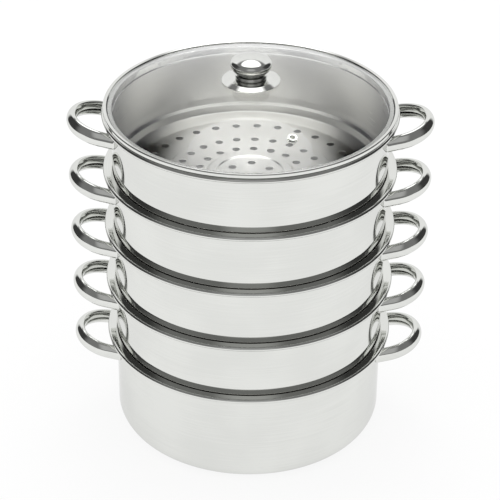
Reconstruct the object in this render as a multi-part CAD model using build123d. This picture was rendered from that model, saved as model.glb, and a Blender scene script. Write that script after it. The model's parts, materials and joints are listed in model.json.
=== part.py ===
"""A stacked steamer: one stock pot, four perforated steamer tiers and a glass lid.

Every vessel is drawn and rolled from thin steel sheet and carries two pressed
hollow loop handles. Each tier drops a spigot into the mouth below and rests its
shoulder on the flared rim there. The lid is a tempered glass dome in a roll-formed
steel band, with a vent eyelet and a screwed-on hollow steel knob.

Frame: origin at the middle of the pot's base, +Z up, handles along X.
"""

import os
from math import asin, atan2, cos, degrees, radians, sin, sqrt, tan

from build123d import *

# Driving sizes of the vessels, in millimetres and degrees
sheet = 0.6
bore_radius = 140.0
rim_radius = 150.0
bead_radius = 1.55
bead_curl = 250.0
flange_angle = 4.5
mouth_bend = 1.2
pot_height = 110.0
pot_corner_radius = 20.0
tier_count = 4
tier_pitch = 63.4
seat_gap = 0.3

# The tier's stepped lower end and its perforated floor
spigot_radius = 134.6
spigot_depth = 12.4
shoulder_bend = 1.5
spigot_root_bend = 1.2
floor_bend = 3.6
floor_step_height = 1.2
floor_step_share = 0.630
floor_rib_outer_share = 0.322
floor_rib_inner_share = 0.267
floor_slope_share = 0.012
floor_hole_radius = 4.0
hole_circle_shares = (0.163, 0.394, 0.550, 0.796)
hole_circle_counts = (6, 18, 24, 30)
hole_pattern_turn = -3.7

# The pressed handles
handle_sheet = 0.8
handle_height = 16.0
handle_thickness = 10.0
handle_round = 4.8
handle_spread = 33.5
handle_reach = 46.0
handle_drop = 22.0
handle_tilt = 14.0
handle_slot = 1.6
handle_lip_radius = 1.0
weld_gap = 0.1
foot_thickness = 1.0

# The lid's glass and its steel band
glass_thickness = 3.5
glass_rise = 33.0
glass_edge_drop = 29.0
glass_edge_radius = 144.7
glass_land_height = 0.8
glass_fit = 0.12
band_sheet = 0.5
band_radius = 145.7
band_height = 4.2
band_lip_width = 3.1
band_lip_rise = 1.3
band_bend = 0.7
skirt_gap = 1.0
skirt_depth = 6.0
skirt_curl = 1.0

# The vent eyelet on the glass
vent_radius = 104.7
vent_angle = -67.3
vent_bore_radius = 2.2
vent_tube_radius = 3.0
vent_flange_radius = 5.0
vent_flange_thickness = 0.6

# The knob and what clamps it
knob_hole_radius = 4.0
seal_radius = 11.0
seal_thickness = 1.0
plate_radius = 28.2
plate_sheet = 0.8
plate_drop = 1.6
plate_hub_radius = 15.6
collar_radius = 15.2
collar_height = 4.6
collar_round = 1.6
knob_sheet = 1.0
knob_neck_radius = 11.0
knob_neck_height = 1.4
knob_base_radius = 13.2
knob_radius = 20.7
knob_waist_height = 10.0
knob_dome_height = 8.4
knob_edge_round = 5.0
insert_radius = 5.0
insert_height = 15.0
screw_radius = 2.5
screw_play = 0.1
screw_grip = 10.0
screw_head_radius = 4.75
screw_head_height = 2.8
screw_drive_radius = 2.2
screw_drive_depth = 1.4
washer_radius = 10.0
washer_thickness = 1.0
stack_gap = 0.05

# Sizes worked out from the ones above
body_radius = bore_radius + sheet
curl_radius = bead_radius - sheet
flange_slope = radians(flange_angle)
flange_end_r = rim_radius - bead_radius - curl_radius * sin(flange_slope)
flange_end_z = -bead_radius + curl_radius * cos(flange_slope)


def under_flange(radius):
    """Height of the flange's underside below the rim's top, at a radius."""
    return flange_end_z + (radius - flange_end_r) * tan(flange_slope)


def top_of_flange(radius):
    """Height of the flange's upper face below the rim's top, at a radius."""
    return under_flange(radius) + sheet / cos(flange_slope)


# The shoulder's bend nests on the mouth's bend one gap away
mouth_centre_r = bore_radius + mouth_bend
mouth_centre_z = top_of_flange(mouth_centre_r) - mouth_bend
seat_reach = mouth_bend + shoulder_bend + seat_gap
seat_offset = mouth_centre_r - (body_radius - shoulder_bend)
seat_rise = sqrt(seat_reach**2 - seat_offset**2)
shoulder_z = -tier_pitch + mouth_centre_z + seat_rise - shoulder_bend
floor_z = shoulder_z - spigot_depth

lid_z = pot_height + tier_count * tier_pitch
glass_sphere = (glass_edge_radius**2 + glass_edge_drop**2) / (2 * glass_edge_drop)
glass_crown = lid_z + glass_rise
screw_bore_radius = screw_radius + screw_play
insert_bore_radius = insert_radius + stack_gap

# Heights of the parts that the screw clamps, upward and downward from the glass
seal_top = glass_crown + seal_thickness
plate_top = seal_top + plate_sheet
collar_top = plate_top + collar_height
knob_base = collar_top + knob_neck_height
under_crown = glass_crown - glass_thickness
under_seal = under_crown - seal_thickness
under_washer = under_seal - washer_thickness

STANDING = (Align.CENTER, Align.CENTER, Align.MIN)


def sheet_profile(outline, thickness):
    """Face between an outline of the sheet's outer side and its inner side."""
    return make_face(offset(outline, amount=thickness, side=Side.LEFT, kind=Kind.INTERSECTION))


def turned(profile):
    """Solid turned about the vertical axis from a profile drawn as radius and height."""
    return revolve(Plane.XZ * profile, Axis.Z)


def rolled_rim(points, bends):
    """Outer side of a vessel from its axis to the end of the curled bead.

    points run from the axis to the foot of the wall; the wall, the flange and the
    bead are the same on every vessel, so that each one carries the next.
    """
    to_flange = [(body_radius, under_flange(body_radius)), (flange_end_r, flange_end_z)]
    wall = FilletPolyline(*points, *to_flange, radius=[*bends, mouth_bend - sheet])
    curl = JernArc(start=wall @ 1, tangent=wall % 1, radius=curl_radius, arc_size=-bead_curl)
    return Curve() + [wall, curl]


def vessel_shell(points, bends):
    """Vessel turned from sheet, with its rim's top at height zero."""
    return turned(sheet_profile(rolled_rim(points, bends), sheet))


def pot_shell():
    """The stock pot: flat base, round corner, straight wall and flared rim."""
    points = [(0, -pot_height), (body_radius, -pot_height)]
    return vessel_shell(points, [pot_corner_radius])


def floor_hole_cutters():
    """Upright pins on circles, one for each hole of a tier's floor."""
    pin = Cylinder(floor_hole_radius, spigot_depth)
    pins = []
    for share, count in zip(hole_circle_shares, hole_circle_counts):
        circle = PolarLocations(share * spigot_radius, count, start_angle=90 + hole_pattern_turn)
        pins += [Pos(0, 0, floor_z) * place * pin for place in circle]
    return pins


def tier_shell():
    """A steamer tier: straight wall, stepped spigot and a pressed, perforated floor."""
    raised = floor_z + floor_step_height
    slope = floor_slope_share * spigot_radius
    step = floor_step_share * spigot_radius
    rib_outer = floor_rib_outer_share * spigot_radius
    rib_inner = floor_rib_inner_share * spigot_radius
    points = [
        (0, raised),
        (rib_inner - slope, raised),
        (rib_inner, raised + floor_step_height),
        (rib_outer, raised + floor_step_height),
        (rib_outer + slope, raised),
        (step, raised),
        (step + slope, floor_z),
        (spigot_radius, floor_z),
        (spigot_radius, shoulder_z),
        (body_radius, shoulder_z),
    ]
    pressed_corners = [0] * 6
    bends = [*pressed_corners, floor_bend, spigot_root_bend - sheet, shoulder_bend]
    return vessel_shell(points, bends) - floor_hole_cutters()


def handle_section():
    """Pressed strap in section: a hollow oval, open along the inside between two lips."""
    outer = RectangleRounded(handle_thickness, handle_height, handle_round)
    inner = RectangleRounded(
        handle_thickness - 2 * handle_sheet,
        handle_height - 2 * handle_sheet,
        handle_round - handle_sheet,
    )
    slot = Pos(-handle_thickness / 2) * Rectangle(2 * handle_lip_radius, handle_slot)
    lip_x = handle_lip_radius - handle_thickness / 2
    lip_y = handle_lip_radius + handle_slot / 2
    lips = [Pos(lip_x, side * lip_y) * Circle(handle_lip_radius) for side in (-1, 1)]
    return outer, outer - inner - slot + lips


def loop_handle():
    """A handle on the +X side of a vessel whose rim's top is at height zero.

    The loop is two straight legs joined by a half circle, in a plane that tilts up
    and outward. The legs are trimmed by the wall and closed there by thin feet.
    """
    start = Plane(
        origin=(body_radius, 0, -handle_drop),
        x_dir=(cos(radians(handle_tilt)), 0, sin(radians(handle_tilt))),
        z_dir=(-sin(radians(handle_tilt)), 0, cos(radians(handle_tilt))),
    )
    bend_x = handle_reach - handle_thickness / 2 - handle_spread
    inside_x = -handle_height
    near_leg = Line((inside_x, -handle_spread), (bend_x, -handle_spread))
    bend = JernArc(start=near_leg @ 1, tangent=near_leg % 1, radius=handle_spread, arc_size=180)
    far_leg = Line(bend @ 1, (inside_x, handle_spread))
    path = start * (Curve() + [near_leg, bend, far_leg])
    across = Plane(origin=path @ 0, x_dir=-start.y_dir, z_dir=path % 0)
    outer, strap = handle_section()
    outside = body_radius + weld_gap
    tall = 4 * handle_height
    wall = Pos(0, 0, -handle_drop) * Cylinder(outside, tall)
    foot_zone = Pos(0, 0, -handle_drop) * Cylinder(outside + foot_thickness, tall)
    loop = sweep(across * strap, path) - wall
    feet = (sweep(across * outer, path) & foot_zone) - wall
    return loop + feet


def glass_ball(growth):
    """Ball that the glass's outer face belongs to, grown by a distance."""
    return Pos(0, 0, glass_crown - glass_sphere) * Sphere(glass_sphere + growth)


def glass_dome():
    """Tempered glass: a spherical shell ground flat where it lies in the band."""
    land = Pos(0, 0, lid_z + glass_land_height)
    trim = land * Cylinder(glass_edge_radius, glass_rise, align=STANDING)
    drill = 4 * glass_thickness
    knob_hole = Pos(0, 0, glass_crown) * Cylinder(knob_hole_radius, drill)
    vent_hole = vent_place() * Cylinder(vent_tube_radius + glass_fit, drill)
    return (glass_ball(0) & trim) - glass_ball(-glass_thickness) - knob_hole - vent_hole


def glass_top(radius):
    """Height of the glass's outer face at a radius."""
    return glass_crown - glass_sphere + sqrt(glass_sphere**2 - radius**2)


def vent_place():
    """Frame on the glass's outer face at the vent, square to the face."""
    lean = degrees(asin(vent_radius / glass_sphere))
    return Rot(0, 0, vent_angle) * Pos(vent_radius, 0, glass_top(vent_radius)) * Rot(0, lean, 0)


def rim_band():
    """Roll-formed steel band: lip over the glass, outer face, ledge and skirt."""
    base = lid_z + top_of_flange(band_radius) + seat_gap
    skirt_radius = bore_radius - skirt_gap
    points = [
        (skirt_radius - skirt_curl, base - skirt_depth - skirt_curl),
        (skirt_radius, base - skirt_depth),
        (skirt_radius, base),
        (band_radius, base),
        (band_radius, base + band_height),
        (band_radius - band_lip_width, base + band_height + band_lip_rise),
    ]
    bends = [0, 0, band_bend, band_bend]
    return turned(sheet_profile(FilletPolyline(*points, radius=bends), band_sheet))


def vent_eyelet():
    """Rolled steel eyelet clinched through the glass."""
    length = glass_thickness + 2 * glass_fit
    middle = Pos(0, 0, -glass_thickness / 2)
    tube = middle * Cylinder(vent_tube_radius, length + 2 * vent_flange_thickness)
    lift = (length + vent_flange_thickness) / 2
    flange = Cylinder(vent_flange_radius, vent_flange_thickness)
    flanges = [middle * Pos(0, 0, side * lift) * flange for side in (-1, 1)]
    bore = middle * Cylinder(vent_bore_radius, 2 * length)
    return vent_place() * (tube + flanges - bore)


def ring(inner_radius, outer_radius, bottom, top):
    """Flat ring between two heights."""
    disc = Cylinder(outer_radius, top - bottom, align=STANDING)
    bore = Cylinder(inner_radius, top - bottom, align=STANDING)
    return Pos(0, 0, bottom) * (disc - bore)


def upper_seal():
    """Soft washer that fills from the glass's round outer face to the flat plate."""
    blank = ring(screw_bore_radius, seal_radius, glass_top(seal_radius), seal_top - stack_gap)
    return blank - glass_ball(stack_gap)


def lower_seal():
    """Soft washer that fills from the flat steel washer to the glass's inner face."""
    blank = ring(screw_bore_radius, seal_radius, under_seal, under_crown)
    return blank & glass_ball(-glass_thickness - stack_gap)


def dished_plate():
    """Pressed plate under the knob: flat hub, then a shallow slope to its edge."""
    points = [
        (screw_bore_radius, seal_top),
        (plate_hub_radius, seal_top),
        (plate_radius, seal_top - plate_drop),
    ]
    return turned(sheet_profile(FilletPolyline(*points, radius=[plate_drop]), plate_sheet))


def knob_collar():
    """Turned steel ring with round edges between the plate and the knob's neck."""
    bottom = plate_top + stack_gap
    height = collar_height - stack_gap
    width = collar_radius - insert_bore_radius
    blank = Rectangle(width, height, align=(Align.MIN, Align.MIN))
    corners = blank.vertices().group_by(Axis.X)[-1]
    return turned(Pos(insert_bore_radius, bottom) * fillet(corners, collar_round))


def knob_form(inset):
    """Half section of the knob's head, drawn in from its surface by a distance.

    A tight arc turns from the widest circle into one wide arc over the top, whose
    radius follows from both arcs being tangent where they meet.
    """
    radius = knob_radius - inset
    rise = knob_dome_height - inset
    edge = knob_edge_round - inset
    reach = radius - edge
    crown = (reach**2 - edge**2 + rise**2) / (2 * (rise - edge))
    turn = degrees(atan2(crown - rise, reach))
    widest = (radius, knob_base + knob_waist_height)
    foot = (knob_base_radius - inset, knob_base + inset)
    belly = TangentArc(widest, foot, tangent=(0, -1))
    shoulder = JernArc(start=widest, tangent=(0, 1), radius=edge, arc_size=turn)
    dome = JernArc(start=shoulder @ 1, tangent=shoulder % 1, radius=crown, arc_size=90 - turn)
    axis = Polyline(dome @ 1, (0, foot[1]), foot)
    return make_face(Curve() + [belly, shoulder, dome, axis])


def knob_shell():
    """Hollow steel knob: round belly, low domed top and a short neck."""
    corner = (Align.MIN, Align.MIN)
    neck_foot = collar_top + stack_gap
    neck = Pos(0, neck_foot) * Rectangle(knob_neck_radius, knob_base - neck_foot, align=corner)
    bore = Pos(0, collar_top) * Rectangle(insert_bore_radius, insert_height, align=corner)
    return turned(knob_form(0) + neck - knob_form(knob_sheet) - bore)


def knob_insert():
    """Threaded boss inside the knob that takes the screw."""
    bottom = plate_top + stack_gap
    return ring(screw_bore_radius, insert_radius, bottom, bottom + insert_height)


def knob_screw():
    """Pan head screw from inside the lid up into the knob's insert."""
    head_top = under_washer - stack_gap
    head = Pos(0, 0, head_top - screw_head_height) * Cylinder(
        screw_head_radius, screw_head_height, align=STANDING
    )
    head = fillet(head.faces().sort_by(Axis.Z)[0].edges(), screw_head_height / 3)
    drive = Pos(0, 0, head_top - screw_head_height) * extrude(
        RegularPolygon(screw_drive_radius, 6), screw_drive_depth
    )
    shank = Pos(0, 0, head_top) * Cylinder(
        screw_radius, plate_top + screw_grip - head_top, align=STANDING
    )
    return head - drive + shank


def lid_nodes():
    """Everything that lifts off with the lid."""
    return {
        "lid_glass": glass_dome(),
        "lid_rim_band": rim_band(),
        "lid_vent_eyelet": vent_eyelet(),
        "knob_upper_seal": upper_seal(),
        "knob_lower_seal": lower_seal(),
        "knob_washer": ring(screw_bore_radius, washer_radius, under_washer, under_seal - stack_gap),
        "knob_base_plate": dished_plate(),
        "knob_collar": knob_collar(),
        "knob_insert": knob_insert(),
        "knob_screw": knob_screw(),
        "knob": knob_shell(),
    }


def with_handles(name, handle_name, shell, rim_top):
    """A vessel's shell and its two handles, lifted to where its rim belongs."""
    handle = loop_handle()
    return {
        name: Pos(0, 0, rim_top) * shell,
        f"{handle_name}_left": Pos(0, 0, rim_top) * Rot(0, 0, 180) * handle,
        f"{handle_name}_right": Pos(0, 0, rim_top) * handle,
    }


def steamer_nodes():
    """Every separate piece of the steamer, by name."""
    nodes = with_handles("stock_pot", "pot_handle", pot_shell(), pot_height)
    tier = tier_shell()
    for number in range(1, tier_count + 1):
        rim_top = pot_height + number * tier_pitch
        nodes |= with_handles(f"steamer_tier_{number}", f"tier_{number}_handle", tier, rim_top)
    return nodes | lid_nodes()


os.makedirs("parts", exist_ok=True)
for node_name, solid in steamer_nodes().items():
    export_step(solid, f"parts/{node_name}.step")
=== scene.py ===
"""Stacked steamer: a stock pot, perforated tiers and a glass lid, dressed for a product picture."""

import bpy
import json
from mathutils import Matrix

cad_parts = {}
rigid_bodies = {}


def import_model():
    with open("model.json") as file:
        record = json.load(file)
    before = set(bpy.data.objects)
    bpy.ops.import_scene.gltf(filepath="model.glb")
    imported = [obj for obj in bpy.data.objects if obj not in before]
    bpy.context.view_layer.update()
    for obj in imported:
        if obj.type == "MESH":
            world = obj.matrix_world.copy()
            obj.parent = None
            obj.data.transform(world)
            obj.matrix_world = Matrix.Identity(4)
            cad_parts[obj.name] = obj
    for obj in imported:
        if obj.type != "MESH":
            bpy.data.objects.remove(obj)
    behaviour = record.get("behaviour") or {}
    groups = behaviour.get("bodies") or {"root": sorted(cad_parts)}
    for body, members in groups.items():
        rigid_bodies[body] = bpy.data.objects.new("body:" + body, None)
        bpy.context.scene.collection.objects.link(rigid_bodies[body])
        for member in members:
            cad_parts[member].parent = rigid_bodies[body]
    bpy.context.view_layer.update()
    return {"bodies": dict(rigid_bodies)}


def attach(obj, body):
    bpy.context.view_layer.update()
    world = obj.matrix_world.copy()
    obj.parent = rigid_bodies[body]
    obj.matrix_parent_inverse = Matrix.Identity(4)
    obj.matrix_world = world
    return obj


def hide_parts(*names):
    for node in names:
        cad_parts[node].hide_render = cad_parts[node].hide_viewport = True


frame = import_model()

import json
from math import asin, atan2, ceil, copysign, cos, degrees, pi, radians, sin, sqrt, tan

import bmesh
import bpy
import numpy as np
from bpy.props import FloatProperty, FloatVectorProperty, IntVectorProperty, PointerProperty
from bpy.types import Operator, Panel, PropertyGroup
from mathutils import Matrix

bl_info = {
    "name": "Stacked steamer",
    "version": (1, 0, 0),
    "blender": (4, 5, 0),
    "location": "3D View > Sidebar > Steamer",
    "description": "Builds the steel vessels, handles, glass lid and stage of a stacked steamer",
    "category": "Object",
}

MILLIMETRE = 0.001
AROUND = 360  # grid lines round the axis
ARC_STEP = radians(8.0)  # longest step of a rounded corner
MERGE = 2e-6  # points this near become one
GUARD = 0.00015  # from an arc to the point that keeps its neighbour's shading flat
LINE_LEAN = 0.83  # how the turned lines cross a flat floor
LINE_WAVES = 2.0  # how much a turned line changes on its way round
BLOTCHES = 14.0  # soft blotches per metre
SCRATCHES = (60.0, 60.0, 900.0)  # fine scratches per metre along x, y and z
DARKER, LIGHTER = 0.955, 1.02  # range of the steel's tone
WELD_TONE, WELD_TINT, WELD_HEIGHT = 0.45, 0.3, 4.0  # a weld mark's tone, its share and its bump
GRAIN_DEPTH = 0.00002  # height of the steel's bump in metres
QUARTER = 0.25  # a quarter turn, so that the satin grain runs round the axis
NEAR_ZERO = 1e-9  # added to a square, so that no distance is 0
# The third vessel finish is a darker copy of the satin steel with the same roughness: painted shade
# on the tiers' undersides
VESSEL_FINISHES = ["polished_steel", "satin_steel", "dull_steel"]
SATIN, UNDERSIDE_SHADE = 1, 2  # their places in that list
# Soft edges of the surroundings' fields: z where a height is meant, else the share to the front
HORIZON, WINDOW_TOP, CEILING = (0.0, 0.1), (0.76, 0.84), (0.66, 0.76)
BEHIND, SIDES, WINDOW = (-0.80, -0.62), (0.0, 0.45), (0.85, 1.0)
SKY = (0.45, 0.85)  # the same, of the direction straight up and leant forward
VENT_CELLS = 7  # half the width of the patch round the vent, in grid cells
# Size and depth of the rings of the plug that closes a handle's leg
FOOT_RINGS = [(0, 0), (0.5, 0), (0.97, 0), (1, 0.06), (1, 0.94), (0.97, 1), (0.5, 1), (0, 1)]


def number(name, description, value, **limits):
    """A setting that is one number."""
    return FloatProperty(name=name, description=description, default=value, **limits)


def length(name, description, millimetres):
    """A size in millimetres, kept in metres."""
    size = millimetres * MILLIMETRE
    return number(name, description, size, min=0.0, precision=5, unit="LENGTH")


def angle(name, description, turn):
    """An angle in degrees, kept in radians."""
    return number(name, description, radians(turn), subtype="ANGLE")


def level(name, description, value, highest=1.0):
    """A plain number such as a share, a roughness or a strength."""
    return number(name, description, value, min=0.0, max=highest, precision=4)


def colour(name, description, value):
    """A colour of light or of a surface."""
    return FloatVectorProperty(
        name=name, description=description, default=value, subtype="COLOR", min=0.0, max=1.0
    )


class VesselSizes(PropertyGroup):
    """Sizes of the pot and of the tiers."""

    sheet: length("Sheet", "Thickness of the vessels' steel", 0.6)
    bore_radius: length("Bore radius", "Inner radius of every vessel", 140.0)
    rim_radius: length("Rim radius", "Outer radius of the curled rim", 149.98)
    bead_radius: length("Bead radius", "Outer radius of the rim's curl", 2.5)
    flange_angle: angle("Flange angle", "Rise of the flared rim", 4.5)
    pot_height: length("Pot height", "Height of the stock pot", 110.0)
    pot_corner: length("Pot corner", "Outer bend at the foot of the pot", 20.0)
    tier_pitch: length("Tier pitch", "Height from one rim to the next", 63.4)
    seat_gap: length("Seat gap", "Clearance over the rim that carries", 0.3)
    spigot_radius: length("Spigot radius", "Outer radius of a tier's low end", 134.6)
    spigot_depth: length("Spigot depth", "Height of a tier's low end", 12.4)
    press_height: length("Press height", "Height of the floor's pressed steps", 1.2)
    step_share: level("Step", "Radius of the floor's step, of the spigot's", 0.630)
    rib_outer_share: level("Rib outside", "Outer radius, of the spigot's", 0.322)
    rib_inner_share: level("Rib inside", "Inner radius, of the spigot's", 0.267)
    hole_radius: length("Hole radius", "Radius of the steam holes", 4.0)
    hole_turn: angle("Hole turn", "Turn of the hole pattern", 86.3)
    hole_shares: FloatVectorProperty(
        name="Hole circles",
        description="Radii of the circles of holes, of the spigot's",
        default=(0.163, 0.394, 0.550, 0.796),
        size=4,
    )
    hole_counts: IntVectorProperty(
        name="Holes", description="Holes on each circle", default=(6, 18, 24, 30), size=4
    )
    # Small sizes in metres: bends, the wall drawn in at the shoulder, the floor's rising edge
    bead_curl = radians(250.0)
    mouth_bend, shoulder_bend, root_bend = 0.0012, 0.0015, 0.0012
    floor_bend, press_bend = 0.0025, 0.0009
    shoulder_draw, draw_height, draw_bend = 0.0009, 0.008, 0.020
    apron_share, apron_rise, apron_bend = 0.892, 0.0037, 0.012
    slope_share, hole_edge = 0.012, 0.00015


class HandleSizes(PropertyGroup):
    """Sizes of the pressed loop handles."""

    sheet: length("Sheet", "Thickness of the handle's steel", 0.8)
    height: length("Height", "Height of the strap's oval", 16.0)
    thickness: length("Thickness", "Width of the strap's oval", 10.0)
    spread: length("Spread", "Radius of the loop's middle line", 33.5)
    reach: length("Reach", "How far the loop stands out", 46.0)
    drop: length("Drop", "From the rim down to the handle's middle", 22.0)
    tilt: angle("Tilt", "Upward tilt of the loop", 14.0)
    slot: length("Slot", "Gap between the strap's rolled lips", 1.6)
    # Small sizes in metres; a leg's spot welds are placed from its middle and from the rim
    tip_round, lip_radius, weld_gap, foot = 0.0032, 0.001, 0.0001, 0.001
    weld_radius, weld_asides = 0.0022, (0.0022, 0.0026, -0.0032)
    weld_downs = (0.0150, 0.0220, 0.0215)


class LidSizes(PropertyGroup):
    """Sizes of the glass dome, its steel band and its vent."""

    glass_thickness: length("Glass thickness", "Thickness of the tempered glass", 3.5)
    dome_height: length("Dome height", "Fall of the outer face from crown to edge", 28.7)
    edge_height: length("Edge height", "Height of the glass's upright edge", 1.88)
    band_inset: length("Band inset", "How far the band stays inside the rim", 1.5)
    band_height: length("Band height", "Height of the band's outer face", 5.1)
    lip_width: length("Lip width", "Width of the lip over the glass", 3.6)
    skirt_gap: length("Skirt gap", "Clearance of the skirt in the mouth", 1.0)
    skirt_depth: length("Skirt depth", "Depth of the skirt in the mouth", 6.0)
    vent_inset: length("Vent inset", "From the glass's edge to the vent", 42.8)
    vent_angle: angle("Vent angle", "Turn of the vent about the lid", -67.3)
    vent_bore: length("Vent bore", "Radius of the vent's bore", 2.2)
    vent_flange: length("Vent flange", "Outer radius of the vent's flange", 5.0)
    # Small sizes in metres
    side_gap, glass_edge, band_sheet, fit = 0.0005, 0.0005, 0.0005, 0.00012
    band_bend, band_foot_bend, skirt_curl = 0.0013, 0.001, 0.001
    vent_tube, vent_sheet = 0.003, 0.0006


class KnobSizes(PropertyGroup):
    """Sizes of the knob and of what clamps it."""

    radius: length("Knob radius", "Widest radius of the knob", 20.7)
    waist: length("Waist", "Height of the widest circle over the foot", 10.0)
    dome: length("Dome", "Height of the dome over the widest circle", 8.4)
    base_radius: length("Base radius", "Radius of the knob's foot", 13.2)
    neck_radius: length("Neck radius", "Radius of the knob's neck", 11.0)
    neck_height: length("Neck height", "Height of the knob's neck", 0.8)
    collar_radius: length("Collar radius", "Radius of the collar", 15.9)
    collar_height: length("Collar height", "Height of the collar", 4.0)
    plate_radius: length("Plate radius", "Radius of the dished plate", 29.0)
    plate_drop: length("Plate drop", "Fall of the plate's edge", 2.7)
    plate_hub: length("Plate hub", "Radius of the plate's flat hub", 23.4)
    seal_radius: length("Seal radius", "Radius of the soft washers", 11.0)
    seal_thickness: length("Seal thickness", "Thickness of the soft washers", 1.9)
    # Small sizes in metres; hole_radius is that of the hole in the glass
    hole_radius, plate_sheet, plate_bend = 0.004, 0.0008, 0.002
    collar_round, edge_round, insert_radius, insert_height = 0.0016, 0.005, 0.005, 0.015
    screw_radius, screw_play, screw_grip, head_radius = 0.0025, 0.0001, 0.010, 0.00475
    head_height, washer_radius, washer_thickness, gap = 0.0028, 0.010, 0.001, 0.00005
    # The screw's cross: half width and depth in metres, and its reach as a share of the head
    cross_width, cross_depth, cross_reach = 0.00055, 0.0013, 0.6


class FinishSettings(PropertyGroup):
    """Colours and finishes of the steel, the glass and the seals."""

    steel: colour("Steel", "Colour of the polished steel", (0.760, 0.768, 0.742))
    satin: colour("Satin steel", "Colour of the vessels' satin inside", (0.940, 0.935, 0.905))
    # Painted shade: a much darker copy of the satin steel for the tiers' undersides and the lower
    # lips of their holes, where shade falls between the tiers
    dull: colour("Dull steel", "Colour of the tiers' undersides", (0.40, 0.40, 0.385))
    edge: level("Edge", "Tone of the steel where it is seen edge on", 0.86)
    polish: level("Polish", "Roughness of the polished steel", 0.055)
    buffing: level("Buffing", "Roughness of the handles and the knob", 0.045)
    satin_roughness: level("Satin roughness", "Roughness of the satin inside", 0.30)
    streak: level("Streak", "How far the satin grain draws a reflection out", 0.6)
    grain: level("Grain", "Strength of the spun lines", 0.10)
    glass: colour("Glass", "Colour of the tempered glass", (0.985, 0.990, 0.986))
    seal: colour("Seal", "Colour of the soft washers", (0.80, 0.80, 0.77))


class StageSettings(PropertyGroup):
    """Camera, floor and light."""

    distance: length("Distance", "From the camera to the point it looks at", 2070.17)
    elevation: angle("Elevation", "Height of the camera's direction", 31.078)
    roll: angle("Roll", "Turn of the camera about its own axis", 0.552)
    lens: level("Lens", "Focal length in mm", 142.249, highest=1000.0)
    backdrop: colour("Backdrop", "Colour of the floor and backdrop", (1.0, 1.0, 1.0))
    room: level("Room", "Tone of the room behind the camera", 0.21)
    window: level("Window", "Tone of the strip straight behind the camera", 0.46)
    card: level("Cards", "Tone of the dark cards at both sides", 0.05)
    glow: level("Glow", "Tone of the overhead lamp in mirrors", 2.0, highest=10.0)
    veil: level("Veil", "Tone of the surroundings under the glass", 0.70)
    sky: level("Sky", "Light from above and in front under the glass", 1.2, highest=10.0)
    lamp_power: level("Lamp", "Power of the overhead lamp in watts", 5.0, highest=100.0)
    # Point looked at; the glow's lean to the back and half width without and with its edge
    aim_x, aim_z = 0.000667, 0.19670
    glow_lean, glow_core, glow_edge = radians(25.0), radians(15.0), radians(21.0)
    # The lamp, the floor's edges from the middle and the share of plain white that it shows
    lamp_size, lamp_back, lamp_height = 1.0, 0.70, 1.9
    floor_width, floor_front, floor_back, floor_glow = 1.6, 0.98, 1.6, 0.84


def adds_maths(operation, swapped=False):
    """A method of Signal that adds a Math node."""

    def method(self, other):
        return self.bench.maths(operation, *((other, self) if swapped else (self, other)))

    return method


class Signal:
    """An output of a material's nodes; arithmetic on it adds Math nodes."""

    __add__ = __radd__ = adds_maths("ADD")
    __sub__, __rsub__ = adds_maths("SUBTRACT"), adds_maths("SUBTRACT", swapped=True)
    __mul__ = __rmul__ = adds_maths("MULTIPLY")
    __truediv__ = adds_maths("DIVIDE")

    def __init__(self, bench, socket):
        self.bench, self.socket = bench, socket


class Bench:
    """Puts one node tree together."""

    def __init__(self, tree):
        self.tree = tree
        tree.nodes.clear()

    def node(self, kind, inputs=None, output=0, **settings):
        """Add a node: settings first, then the values or links of its inputs."""
        made = self.tree.nodes.new("ShaderNode" + kind)
        for key, value in settings.items():
            setattr(made, key, value)
        for key, value in (inputs or {}).items():
            if isinstance(value, Signal):
                self.tree.links.new(value.socket, made.inputs[key])
            else:
                made.inputs[key].default_value = value
        return Signal(self, made.outputs[output]) if made.outputs else None

    def maths(self, operation, *values):
        """One Math node on signals and numbers."""
        return self.node("Math", dict(enumerate(values)), operation=operation)

    def smooth(self, value, low, high):
        """0 below low and 1 above high, with a smooth step between."""
        inputs = {"Value": value, "From Min": low, "From Max": high}
        return self.node("MapRange", inputs, interpolation_type="SMOOTHSTEP")

    def split(self, vector):
        """The three parts of a vector."""
        return [self.node("SeparateXYZ", {0: vector}, output=axis) for axis in range(3)]

    def place(self):
        """Object coordinates as three numbers and the distance from the vertical axis."""
        where = self.node("TexCoord", output="Object")
        x, y, z = self.split(where)
        return where, x, y, z, self.maths("SQRT", x * x + y * y + NEAR_ZERO)

    def noise(self, vector, scale, detail=2.0):
        """Noise about 0.5 that has scale cells in a unit of the vector."""
        return self.node("TexNoise", {"Vector": vector, "Scale": scale, "Detail": detail})

    def vector(self, x, y, z):
        """A vector of three signals."""
        return self.node("CombineXYZ", {0: x, 1: y, 2: z})

    def blend(self, factor, first, second):
        """Mix of two colours."""
        inputs = {"Factor": factor, 6: first, 7: second}
        return self.node("Mix", inputs, output=2, data_type="RGBA")

    def bump(self, strength, distance, height):
        """Normal of a surface that rises by height times distance."""
        inputs = {"Strength": strength, "Distance": distance, "Height": height}
        return self.node("Bump", inputs)

    def surface(self, inputs):
        """Principled surface as the material's output."""
        skin = self.node("BsdfPrincipled", inputs)
        self.node("OutputMaterial", {"Surface": skin})


def sizes(group):
    """The scene's settings of a group, such as those of the vessels."""
    return getattr(bpy.context.scene, "steamer_" + group)


def opaque(rgb, scale=1.0):
    """A colour, scaled, with full alpha."""
    return (*(part * scale for part in rgb), 1.0)


def weld_marks(bench, y, z, radius):
    """1 on the faint round marks that the handles' spot welds leave on the inner walls."""
    vessel, handle = sizes("vessel"), sizes("handle")
    below = bench.maths("WRAP", vessel.pot_height - z, vessel.tier_pitch, 0.0)
    across = bench.maths("ABSOLUTE", y) - handle.spread
    marks = 0
    for aside, down in zip(handle.weld_asides, handle.weld_downs):
        off_y, off_z = across - aside, below - down
        away = bench.maths("SQRT", off_y * off_y + off_z * off_z)
        marks = marks + (1 - bench.smooth(away, handle.weld_radius * 0.6, handle.weld_radius))
    return marks * bench.maths("GREATER_THAN", radius, vessel.bore_radius - MILLIMETRE)


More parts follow.
